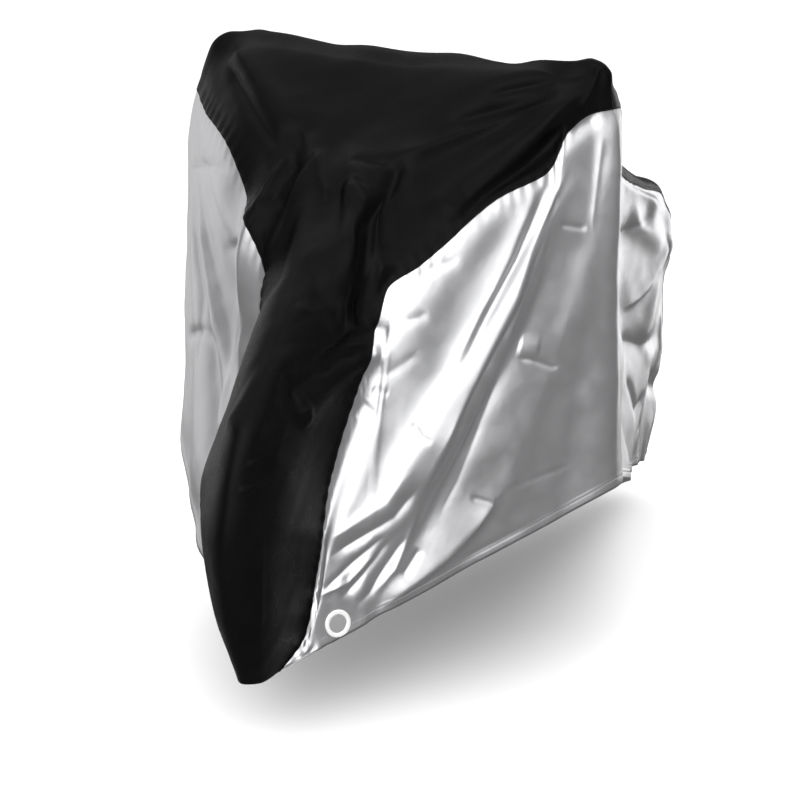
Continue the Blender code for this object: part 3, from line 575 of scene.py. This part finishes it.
def clothSurface(at, spot, piece=None):
    # the cover's surface at the wanted sections and spots, with every fold laid on in turn
    grid = across(sectionPoints(at), spot)
    grid = grid + fanRelief(grid, at, spot)[..., None] * gridNormals(grid)
    normal = gridNormals(grid)
    grid = grid + straightRelief(grid, normal)[..., None] * normal
    grid = grid + gatherRelief(at, spot)[..., None] * gridNormals(grid)
    if piece is None:
        return grid
    normal = gridNormals(grid)
    small = sum(height * lumps(grid, scale, seed) for scale, height, seed in unevenness)
    fade = 1.0
    for edge, name, seed in ((6, "leftSeam", 21), (2, "rightSeam", 31)):
        if (piece, edge) in (("left", 2), ("right", 6)):
            continue
        fade = fade * ramp(fromEdge(grid, spot, edge), *seamFade)
        small = small + puckerRelief(grid, at, spot, edge, name, puckers["seam"], seed)
    if piece != "centre":
        edge, name = (8, "leftHem") if piece == "left" else (0, "rightHem")
        small = small + drawnIn(at, hemDrawn)[:, None] * puckerRelief(
            grid, at, spot, edge, name, puckers["hem"], 41)
    for (owner, face), creases in handCreases.items():
        if owner == piece:
            small = small + fade * creaseRelief(grid, normal, face, creases)
    return grid + small[..., None] * normal


def eyeletPlane(side):
    # the middle of the cloth round the eyelet, and the way it faces there
    at = np.linspace(*eyelet["sections"], 61)
    spot = np.linspace(*eyelet["spots"][side], 41)
    grid = clothSurface(at, spot[None, :] + 0 * at[:, None])
    normal = gridNormals(grid)
    centre = np.array(eyelet[side])
    near = size(grid - centre) < eyelet["flat"]
    axis = unit(normal[near].mean(axis=0))
    lift = ((grid[near] - centre) @ axis).mean()
    return centre + axis * lift, axis


def fill(node, values):
    # sets a node's sockets by their names
    for label, value in values.items():
        node.inputs[label].default_value = value


def plainMaterial(name, values):
    material = bpy.data.materials.new(name)
    material.use_nodes = True
    fill(material.node_tree.nodes["Principled BSDF"], values)
    return material


def addPiece(name, mesh, material):
    # the mesh as a smooth piece at the origin
    mesh.shade_smooth()
    mesh.materials.append(material)
    piece = bpy.data.objects.new(name, mesh)
    bpy.context.scene.collection.objects.link(piece)
    return piece


def shaderGroup(name, inputs, outputs):
    # a node group whose inputs and outputs are all numbers
    group = bpy.data.node_groups.new(name, "ShaderNodeTree")
    number = "NodeSocketFloat"
    for label, value in inputs.items():
        socket = group.interface.new_socket(name=label, in_out="INPUT", socket_type=number)
        socket.default_value = value
    for label in outputs:
        group.interface.new_socket(name=label, in_out="OUTPUT", socket_type=number)
    return group, group.nodes.new("NodeGroupInput"), group.nodes.new("NodeGroupOutput")


def mathNode(tree, operation, first, second=0.5, clamp=False):
    node = tree.nodes.new("ShaderNodeMath")
    node.operation = operation
    node.use_clamp = clamp
    for slot, value in ((0, first), (1, second)):
        if isinstance(value, (int, float)):
            node.inputs[slot].default_value = value
        else:
            tree.links.new(value, node.inputs[slot])
    return node.outputs[0]


def weaveGroup():
    # plain weave: the sine of u times the sine of v, read from the cloth's own UV map
    group, start, end = shaderGroup("plainWeave", {"Threads": 900.0}, ["Height"])
    uv = group.nodes.new("ShaderNodeUVMap")
    uv.uv_map = "cloth"
    parts = group.nodes.new("ShaderNodeSeparateXYZ")
    group.links.new(uv.outputs[0], parts.inputs[0])
    waves = []
    for axis in (0, 1):
        turned = mathNode(group, "MULTIPLY", parts.outputs[axis], start.outputs["Threads"])
        waves.append(mathNode(group, "SINE", mathNode(group, "MULTIPLY", turned, 6.2832)))
    group.links.new(mathNode(group, "MULTIPLY", waves[0], waves[1]), end.inputs["Height"])
    return group


def crinkleGroup():
    # small creases of coated cloth: noise folded at its middle, which leaves sharp lines
    group, start, end = shaderGroup("crinkle", {"Scale": 14.0, "Fine": 60.0}, ["Height", "Mask"])
    spot = group.nodes.new("ShaderNodeTexCoord")
    total = []
    for label, detail, seed in (("Scale", 2.0, 0.0), ("Fine", 1.0, 7.0)):
        shifted = group.nodes.new("ShaderNodeVectorMath")
        shifted.operation = "ADD"
        shifted.inputs[1].default_value = (seed, seed * 0.7, seed * 1.3)
        group.links.new(spot.outputs["Object"], shifted.inputs[0])
        noise = group.nodes.new("ShaderNodeTexNoise")
        fill(noise, {"Detail": detail, "Roughness": 0.45})
        group.links.new(shifted.outputs[0], noise.inputs["Vector"])
        group.links.new(start.outputs[label], noise.inputs["Scale"])
        offMiddle = mathNode(group, "SUBTRACT", noise.outputs[0], 0.5)
        total.append(mathNode(group, "ABSOLUTE", offMiddle))
    both = mathNode(group, "ADD", total[0], mathNode(group, "MULTIPLY", total[1], 0.25))
    group.links.new(both, end.inputs["Height"])
    # Mask is 0 on the crinkle lines, where the crease colour paints shade on the silver and sheen on
    # the black
    group.links.new(mathNode(group, "MULTIPLY", total[0], 4.0, clamp=True), end.inputs["Mask"])
    return group


def clothMaterial(name, look):
    # crinkle lines get a painted colour, shade on the silver and sheen on the black, and set the
    # gloss; crinkles and weave turn the normal
    material = plainMaterial(name, {"Metallic": look["metallic"],
                                    "Specular IOR Level": look["specular"]})
    tree = material.node_tree
    shader = tree.nodes["Principled BSDF"]
    weave, crinkle = (tree.nodes.new("ShaderNodeGroup") for _ in range(2))
    weave.node_tree, crinkle.node_tree = groups["weave"], groups["crinkle"]
    fill(weave, {"Threads": cloth["threads"]})
    fill(crinkle, {"Scale": look["crinkleScale"], "Fine": look["fineScale"]})
    # the crease colour along the crinkle lines is painted light: painted shade on the silver, painted
    # sheen on the black
    colour = tree.nodes.new("ShaderNodeMix")
    colour.data_type = "RGBA"
    fill(colour, {"A": (*look["paintedCreaseColour"], 1), "B": (*look["colour"], 1)})
    rough = tree.nodes.new("ShaderNodeMapRange")
    fill(rough, {"To Min": look["roughness"][0], "To Max": look["roughness"][1]})
    creased, woven = (tree.nodes.new("ShaderNodeBump") for _ in range(2))
    fill(creased, {"Strength": look["crinkleStrength"], "Distance": cloth["crinkleDepth"]})
    fill(woven, {"Strength": look["weaveStrength"], "Distance": cloth["weaveDepth"]})
    for start, end in ((crinkle.outputs["Mask"], colour.inputs["Factor"]),
                       (colour.outputs["Result"], shader.inputs["Base Color"]),
                       (crinkle.outputs["Mask"], rough.inputs["Value"]),
                       (rough.outputs[0], shader.inputs["Roughness"]),
                       (crinkle.outputs["Height"], creased.inputs["Height"]),
                       (weave.outputs["Height"], woven.inputs["Height"]),
                       (creased.outputs[0], woven.inputs["Normal"]),
                       (woven.outputs[0], shader.inputs["Normal"])):
        tree.links.new(start, end)
    return material


groups = {"weave": weaveGroup(), "crinkle": crinkleGroup()}
# threads to the metre of cloth, and how deep the weave and the crinkles are
cloth = {"threads": 900.0, "weaveDepth": 0.0002, "crinkleDepth": 0.004}
# its crease colour is a painted shade, a little darker along the crinkle lines
silverCloth = clothMaterial("silverCloth", {
    "colour": (0.44, 0.44, 0.45), "paintedCreaseColour": (0.41, 0.41, 0.42), "metallic": 0.88,
    "roughness": (0.34, 0.42), "specular": 0.5, "weaveStrength": 0.2,
    "crinkleScale": 16.0, "fineScale": 56.0, "crinkleStrength": 0.25})
# its crease colour is a painted sheen, a little lighter along the crinkle lines
blackCloth = clothMaterial("blackCloth", {
    "colour": (0.0018, 0.0018, 0.0019), "paintedCreaseColour": (0.0024, 0.0024, 0.0025), "metallic": 0.0,
    "roughness": (0.27, 0.34), "specular": 0.03, "weaveStrength": 0.25,
    "crinkleScale": 12.0, "fineScale": 42.0, "crinkleStrength": 0.3})
silverThread, blackThread = (plainMaterial(name, {
    "Base Color": (grey, grey, grey, 1), "Roughness": 0.6, "Specular IOR Level": 0.2})
    for name, grey in (("silverThread", 0.45), ("blackThread", 0.012)))
print("materials made")


def sections(counts):
    # section numbers, evenly spaced within each stretch
    rows = [np.array([counts[0][0]])]
    for start, end, count in counts:
        rows.append(np.linspace(start, end, count + 1)[1:])
    return np.concatenate(rows).astype(float)


def clothUv(grid):
    # u runs with the threads along the cover and v across it, both in metres of cloth
    stepAlong = size(np.diff(grid, axis=0)).mean(axis=1)
    stepAcross = size(np.diff(grid, axis=1))
    u = np.concatenate([[0], np.cumsum(stepAlong)])[:, None] + 0 * grid[..., 0]
    v = np.concatenate([0 * stepAcross[:, :1], np.cumsum(stepAcross, axis=1)], axis=1)
    return np.stack([u, v], axis=-1)


def openSheet(name, grid, keep, material):
    # one layer of cloth: a quad for each cell that is kept
    rows, columns = grid.shape[:2]
    index = np.arange(rows * columns).reshape(rows, columns)
    corner = [index[:-1, :-1], index[:-1, 1:], index[1:, 1:], index[1:, :-1]]
    quads = np.stack([c[keep] for c in corner], axis=-1)
    mesh = bpy.data.meshes.new(name)
    mesh.vertices.add(rows * columns)
    mesh.vertices.foreach_set("co", grid.ravel())
    mesh.loops.add(quads.size)
    mesh.loops.foreach_set("vertex_index", quads.ravel())
    mesh.polygons.add(len(quads))
    mesh.polygons.foreach_set("loop_start", np.arange(0, quads.size, 4))
    mesh.update(calc_edges=True)
    layer = mesh.uv_layers.new(name="cloth")
    layer.uv.foreach_set("vector", clothUv(grid).reshape(-1, 2)[quads.ravel()].ravel())
    work = bmesh.new()
    work.from_mesh(mesh)
    bmesh.ops.remove_doubles(work, verts=work.verts, dist=1e-6)
    bmesh.ops.delete(work, geom=[v for v in work.verts if not v.link_faces], context="VERTS")
    work.to_mesh(mesh)
    work.free()
    return addPiece(name, mesh, material)


def turnUnder(grid, normal, columns, gap):
    # copies of these columns a gap further in: the cloth's edge folded back under itself
    return grid[:, columns] - normal[:, columns] * gap


leastCell = 0.09    # a section nearly shrunk to a point counts as this wide


def bandSpots(at, edge, inward, offsets):
    # spots at fixed distances in metres from an edge: inward is 1 where they grow inwards
    cell = size(np.diff(sectionPoints(at), axis=0))
    spots = []
    for offset in offsets:
        way = inward if offset >= 0 else -inward
        length = cell[min(max(int(edge if way > 0 else edge - 1), 0), 7)]
        spots.append(edge + way * abs(offset) / np.maximum(length, leastCell))
    return np.stack(spots, axis=1)


def spreadSpots(first, last, count):
    # evenly spaced spots between two that vary from section to section, both ends left out
    share = np.linspace(0, 1, count + 2)[1:-1]
    return first + (last - first) * share


def stitchRow(name, line, normal, thread, material, skip=None):
    # one mesh of stitches along a line, each three rings of four points, sunk at both ends
    run = lengthAlong(line)
    at = (np.arange(int(run[-1] / thread["pitch"])) + 0.5) * thread["pitch"]
    place, up = between(at, run, line), unit(between(at, run, normal))
    ahead = unit(np.gradient(place, axis=0))
    side = unit(np.cross(up, ahead))
    if skip is not None:
        stay = size(place - skip) > thread["clear"]
        place, up, ahead, side = place[stay], up[stay], ahead[stay], side[stay]
    half = thread["width"] / 2
    corner = np.array([(1, 0), (0, 1), (-1, 0), (0, -1)]) * half
    ring = [(-0.5, 0.5, -0.4), (0.0, 1.0, 1.0), (0.5, 0.5, -0.4)]
    shape = np.array([(far * thread["length"], wide * full, rise * full + lift * half)
                      for far, full, lift in ring for wide, rise in corner])
    point = (place[:, None] + shape[None, :, :1] * ahead[:, None]
             + shape[None, :, 1:2] * side[:, None] + shape[None, :, 2:] * up[:, None])
    quads = [(3, 2, 1, 0), (8, 9, 10, 11)]
    for first in (0, 4):
        quads += [(first + k, first + (k + 1) % 4, first + 4 + (k + 1) % 4, first + 4 + k)
                  for k in range(4)]
    quads = (np.arange(len(place))[:, None, None] * 12 + np.array(quads)).reshape(-1, 4)
    mesh = bpy.data.meshes.new(name)
    mesh.from_pydata(point.reshape(-1, 3).tolist(), [], quads.tolist())
    piece = addPiece(name, mesh, material)
    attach(piece, "root")
    return piece


thread = {"pitch": 0.0042, "length": 0.0031, "width": 0.0007, "clear": 0.026}
silver = {
    "left": {"counts": [(0, 7, 300), (7, 9, 120), (9, 20, 130)], "columns": 158},
    "right": {"counts": [(0, 7, 200), (7, 9, 100), (9, 20, 150)], "columns": 116},
    "flat": (2.05, 0.80),
    "turned": 0.0012,      # how far in the turned edge lies
    "turnedColumns": (5, 2, 1),
    "proud": 0.0002,       # how far its stitches stand off the cloth
    # the turned hem: columns at these distances from the edge, its height and its stitch line
    "hemColumns": (0.0, 0.005, 0.010, 0.0125, 0.0145, 0.0160, 0.0175, 0.0200, 0.0230, 0.0280),
    "hemWidth": 0.018, "rise": 0.0007, "stitch": 0.0145, "stitchSink": 0.0006,
    "hemSlope": (1.12, 0.92), "sinkWidth": 0.09,   # both as shares of the hem's width
}


def hemRise(spot, at, side):
    # the turned hem is two layers thick and drawn in along its stitches
    edge, inward = (8, -1) if side == "left" else (0, 1)
    columns = bandSpots(at, edge, inward, (silver["hemWidth"], silver["stitch"]))
    away = np.abs(spot - edge)
    width, stitch = (np.abs(columns - edge)[:, k:k + 1] for k in (0, 1))
    foot, top = silver["hemSlope"]
    rise = silver["rise"] * ramp(-away, -foot * width, -top * width)
    sunk = silver["sinkWidth"] * width
    sink = silver["stitchSink"] * np.exp(-((away - stitch) / sunk) ** 2)
    return rise - sink


sheets = {}
for side in ("left", "right"):
    look = silver[side]
    at = sections(look["counts"])
    hemEdge, inward, seamEdge = (8, -1, 6) if side == "left" else (0, 1, 2)
    band = bandSpots(at, hemEdge, inward, silver["hemColumns"])
    seamSpot = np.full((len(at), 1), float(seamEdge))
    middle = spreadSpots(band[:, -1:], seamSpot, look["columns"])
    spot = np.concatenate([band, middle, seamSpot], axis=1)
    stitchColumn = silver["hemColumns"].index(silver["stitch"])
    if side == "left":
        spot = spot[:, ::-1]
        stitchColumn = spot.shape[1] - 1 - stitchColumn
    grid = clothSurface(at, spot, side)
    normal = gridNormals(grid)
    grid = grid + hemRise(spot, at, side)[..., None] * normal
    normal = gridNormals(grid)
    centre, axis = eyeletPlane(side)
    reach = grid - centre
    height = reach @ axis
    distance = size(reach)
    flat = ramp(-distance, -eyelet["blend"], -eyelet["flat"]) * (normal @ axis > 0)
    grid = grid - (flat * height)[..., None] * axis
    normal = unit(normal + flat[..., None] * (axis - normal))
    stitchLine, stitchUp = grid[:, stitchColumn].copy(), normal[:, stitchColumn].copy()
    reach = grid - centre
    aside = reach - (reach @ axis)[..., None] * axis
    radius = size(aside)
    inHole = (radius < eyelet["hole"]) & (distance < eyelet["flat"])
    pushed = centre + unit(aside) * eyelet["hole"]
    grid = np.where(inHole[..., None], pushed, grid)
    keep = ~(inHole[:-1, :-1] & inHole[1:, :-1] & inHole[:-1, 1:] & inHole[1:, 1:])
    turned = list(silver["turnedColumns"])
    if side == "left":
        turned = [spot.shape[1] - 1 - column for column in reversed(turned)]
    under = turnUnder(grid, normal, turned, silver["turned"])
    more = np.ones((len(keep), len(turned)), dtype=bool)
    order = slice(None) if side == "left" else slice(None, None, -1)
    grid = np.concatenate([grid, under][order], axis=1)
    keep = np.concatenate([keep, more][order], axis=1)
    sheets[side] = openSheet("silver_panel_" + side, grid - topPoint, keep, silverCloth)
    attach(sheets[side], "root")
    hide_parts("side_front_" + side, "side_rear_" + side, "hem_strip_" + side)
    outer = stitchLine + stitchUp * silver["proud"] - topPoint
    hemStitches = stitchRow("hem_stitches_" + side, outer, stitchUp, thread, silverThread,
                            skip=centre - topPoint)

black = {
    "counts": [(0, 7, 300), (7, 9, 90), (9, 20, 150)],
    "columns": 148,
    "turned": 0.0007,      # how far in its turned edge lies
    # columns at these distances in from the seam; the first ones lie over the silver cloth
    "edgeColumns": (-0.0050, -0.0035, -0.0020, 0.0, 0.0025, 0.0050, 0.0080, 0.0120, 0.0170,
                    0.0230),
    "lap": 0.0013,         # how far its edge stands off, to lie over the silver cloth
    "lapFade": (-0.017, -0.003),
    "stitch": -0.0020, "stitchSink": 0.0003, "proud": 0.0001, "turnedColumns": [4, 2, 1],
    "flat": (2.60, 0.90),
}
at = sections(black["counts"])
rightBand = bandSpots(at, 2, 1, black["edgeColumns"])
leftBand = bandSpots(at, 6, -1, black["edgeColumns"])[:, ::-1]
spot = np.concatenate([rightBand, spreadSpots(rightBand[:, -1:], leftBand[:, :1],
                                              black["columns"]), leftBand], axis=1)
grid = clothSurface(at, spot, "centre")
normal = gridNormals(grid)
# how far in from the seam each band column lies sets how far it stands off the silver
offset = np.full(spot.shape[1], 1.0)
bands = np.array(black["edgeColumns"])
offset[:len(bands)] = bands
offset[-len(bands):] = bands[::-1]
lift = black["lap"] * ramp(-offset, *black["lapFade"])
lift = lift - black["stitchSink"] * (np.abs(offset - black["stitch"]) < 1e-6)
grid = grid + lift[None, :, None] * normal
normal = gridNormals(grid)
last, turned = spot.shape[1] - 1, black["turnedColumns"]
body = np.concatenate([turnUnder(grid, normal, turned, black["turned"]), grid,
                       turnUnder(grid, normal, [last - column for column in turned[::-1]],
                                 black["turned"])], axis=1)
keep = np.ones((len(at) - 1, body.shape[1] - 1), dtype=bool)
sheets["centre"] = openSheet("black_panel", body - topPoint, keep, blackCloth)
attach(sheets["centre"], "root")
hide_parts("centre_panel")
column = black["edgeColumns"].index(black["stitch"])
for side, column in (("right", column), ("left", last - column)):
    outer = grid[:, column] + normal[:, column] * black["proud"]
    stitchRow("seam_stitches_" + side, outer - topPoint, normal[:, column],
                                  thread, blackThread)


# half the cloth's thickness it grips, its radii, the height of its rim and the neck's wall
ring = {"grip": 0.0006, "hole": 0.0150, "outer": 0.0225, "flange": 0.0021, "neck": 0.0010,
        "steps": 72}


def ringProfile():
    # a closed curve: over the rolled rim on the outer face, through the neck, and back
    turn = np.linspace(0, np.pi, 9)
    middle, half = (ring["hole"] + ring["outer"]) / 2, (ring["outer"] - ring["hole"]) / 2
    face = ring["grip"]
    top = [(middle + half * np.cos(t), face + ring["flange"] * np.sin(t) ** 0.6) for t in turn]
    bottom = [(x, -z) for x, z in reversed(top)]
    neck = ring["hole"] + ring["neck"]
    return np.array(top + bottom + [(ring["outer"], -face), (neck, -face), (neck, face)])


ringMetal = plainMaterial("ringMetal", {
    "Base Color": (0.88, 0.88, 0.87, 1), "Metallic": 0.55, "Roughness": 0.32})
for side in ("left", "right"):
    centre, axis = eyeletPlane(side)
    profile = ringProfile()
    turn = np.linspace(0, 2 * np.pi, ring["steps"], endpoint=False)
    first = unit(np.cross(axis, [0, 0, 1.0]))
    second = np.cross(axis, first)
    spoke = np.cos(turn)[:, None] * first + np.sin(turn)[:, None] * second
    point = (centre - topPoint + spoke[:, None] * profile[None, :, :1]
             + axis * profile[None, :, 1:]).reshape(-1, 3)
    rows, columns = len(turn), len(profile)
    i, j = np.mgrid[0:rows, 0:columns]
    nextI, nextJ = (i + 1) % rows, (j + 1) % columns
    quads = np.stack([i * columns + j, nextI * columns + j, nextI * columns + nextJ,
                      i * columns + nextJ], axis=-1).reshape(-1, 4)
    mesh = bpy.data.meshes.new("eyelet_ring_" + side)
    mesh.from_pydata(point.tolist(), [], quads.tolist())
    work = bmesh.new()
    work.from_mesh(mesh)
    bmesh.ops.remove_doubles(work, verts=work.verts, dist=1e-7)
    bmesh.ops.recalc_face_normals(work, faces=work.faces)
    work.to_mesh(mesh)
    work.free()
    piece = addPiece("eyelet_ring_" + side, mesh, ringMetal)
    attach(piece, "root")
    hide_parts("eyelet_" + side)
print("eyelets made")


studio = {"floor": -1.054, "floorHalf": 120.0, "floorColour": (0.90, 0.90, 0.90, 1),
          "horizon": 0.20, "zenith": 1.9, "domeStart": 0.30, "domeFull": 0.80}
floorMesh = bpy.data.meshes.new("floor")
half, level = studio["floorHalf"], studio["floor"]
floorMesh.from_pydata([(-half, -half, level), (half, -half, level), (half, half, level),
                       (-half, half, level)], [], [(0, 1, 2, 3)])
floor = addPiece("floor", floorMesh, plainMaterial("floorPaper", {
    "Base Color": studio["floorColour"], "Roughness": 0.9, "Specular IOR Level": 0.1}))
floor.visible_glossy = False   # the cloth's sheen shows the dark air below it instead

# the air is dark at the horizon and bright overhead, read from the way one looks up
world = bpy.data.worlds.new("studioAir")
world.use_nodes = True
air = world.node_tree
wayUp = air.nodes.new("ShaderNodeSeparateXYZ")
air.links.new(air.nodes.new("ShaderNodeTexCoord").outputs["Generated"], wayUp.inputs[0])
dome = air.nodes.new("ShaderNodeMapRange")
dome.interpolation_type = "SMOOTHSTEP"
fill(dome, {"From Min": studio["domeStart"], "From Max": studio["domeFull"],
            "To Min": studio["horizon"], "To Max": studio["zenith"]})
air.links.new(wayUp.outputs["Z"], dome.inputs["Value"])
air.links.new(dome.outputs[0], air.nodes["Background"].inputs["Strength"])
fill(air.nodes["Background"], {"Color": (1, 1, 1, 1)})
bpy.context.scene.world = world
bpy.context.scene.view_settings.view_transform = "Standard"

# each lamp: where it stands, its width and height, and how bright its face is; all look at
# the middle of the cover
lamps = {
    "frontPanel": ((3.0, 1.45, 1.0), (3.9, 3.8), 3.1),
    "rightPanel": ((-0.4, -4.0, -0.3), (4.6, 3.0), 0.8),
    "rearPanel": ((-4.45, 0.75, -0.6), (1.5, 2.0), 2.4),
}
aim = Vector((-0.1, 0.0, -0.45))
for name, (place, face, bright) in lamps.items():
    light = bpy.data.lights.new(name, "AREA")
    light.shape = "RECTANGLE"
    light.size, light.size_y = face
    light.energy = 4 * bright * face[0] * face[1]
    lamp = bpy.data.objects.new(name, light)
    lamp.location = place
    lamp.rotation_euler = (aim - Vector(place)).to_track_quat("-Z", "Y").to_euler()
    lamp.visible_camera = False
    bpy.context.scene.collection.objects.link(lamp)

# the camera: degrees round, up and tilted, metres away, lens and sensor in millimetres
view = {"azimuth": 116.77, "elevation": 15.44, "distance": 3.82, "roll": 2.09,
        "lens": 106.3, "sensor": 36.0, "target": (0.224, 0.111, -0.530)}
azimuth, elevation, roll = (np.radians(view[k]) for k in ("azimuth", "elevation", "roll"))
back = np.array([np.sin(azimuth) * np.cos(elevation), -np.cos(azimuth) * np.cos(elevation),
                 np.sin(elevation)])
right = unit(np.cross(-back, [0, 0, 1.0]))
up = np.cross(right, -back)
rolledRight = right * np.cos(roll) + up * np.sin(roll)
rolledUp = up * np.cos(roll) - right * np.sin(roll)
cameraData = bpy.data.cameras.new("camera")
cameraData.lens = view["lens"]
cameraData.sensor_width = view["sensor"]
camera = bpy.data.objects.new("camera", cameraData)
turned = Matrix(np.stack([rolledRight, rolledUp, back], axis=1).tolist()).to_4x4()
camera.matrix_world = Matrix.Translation(
    Vector(view["target"]) + Vector(back) * view["distance"]) @ turned
bpy.context.scene.collection.objects.link(camera)
bpy.context.scene.camera = camera

print("scene made")
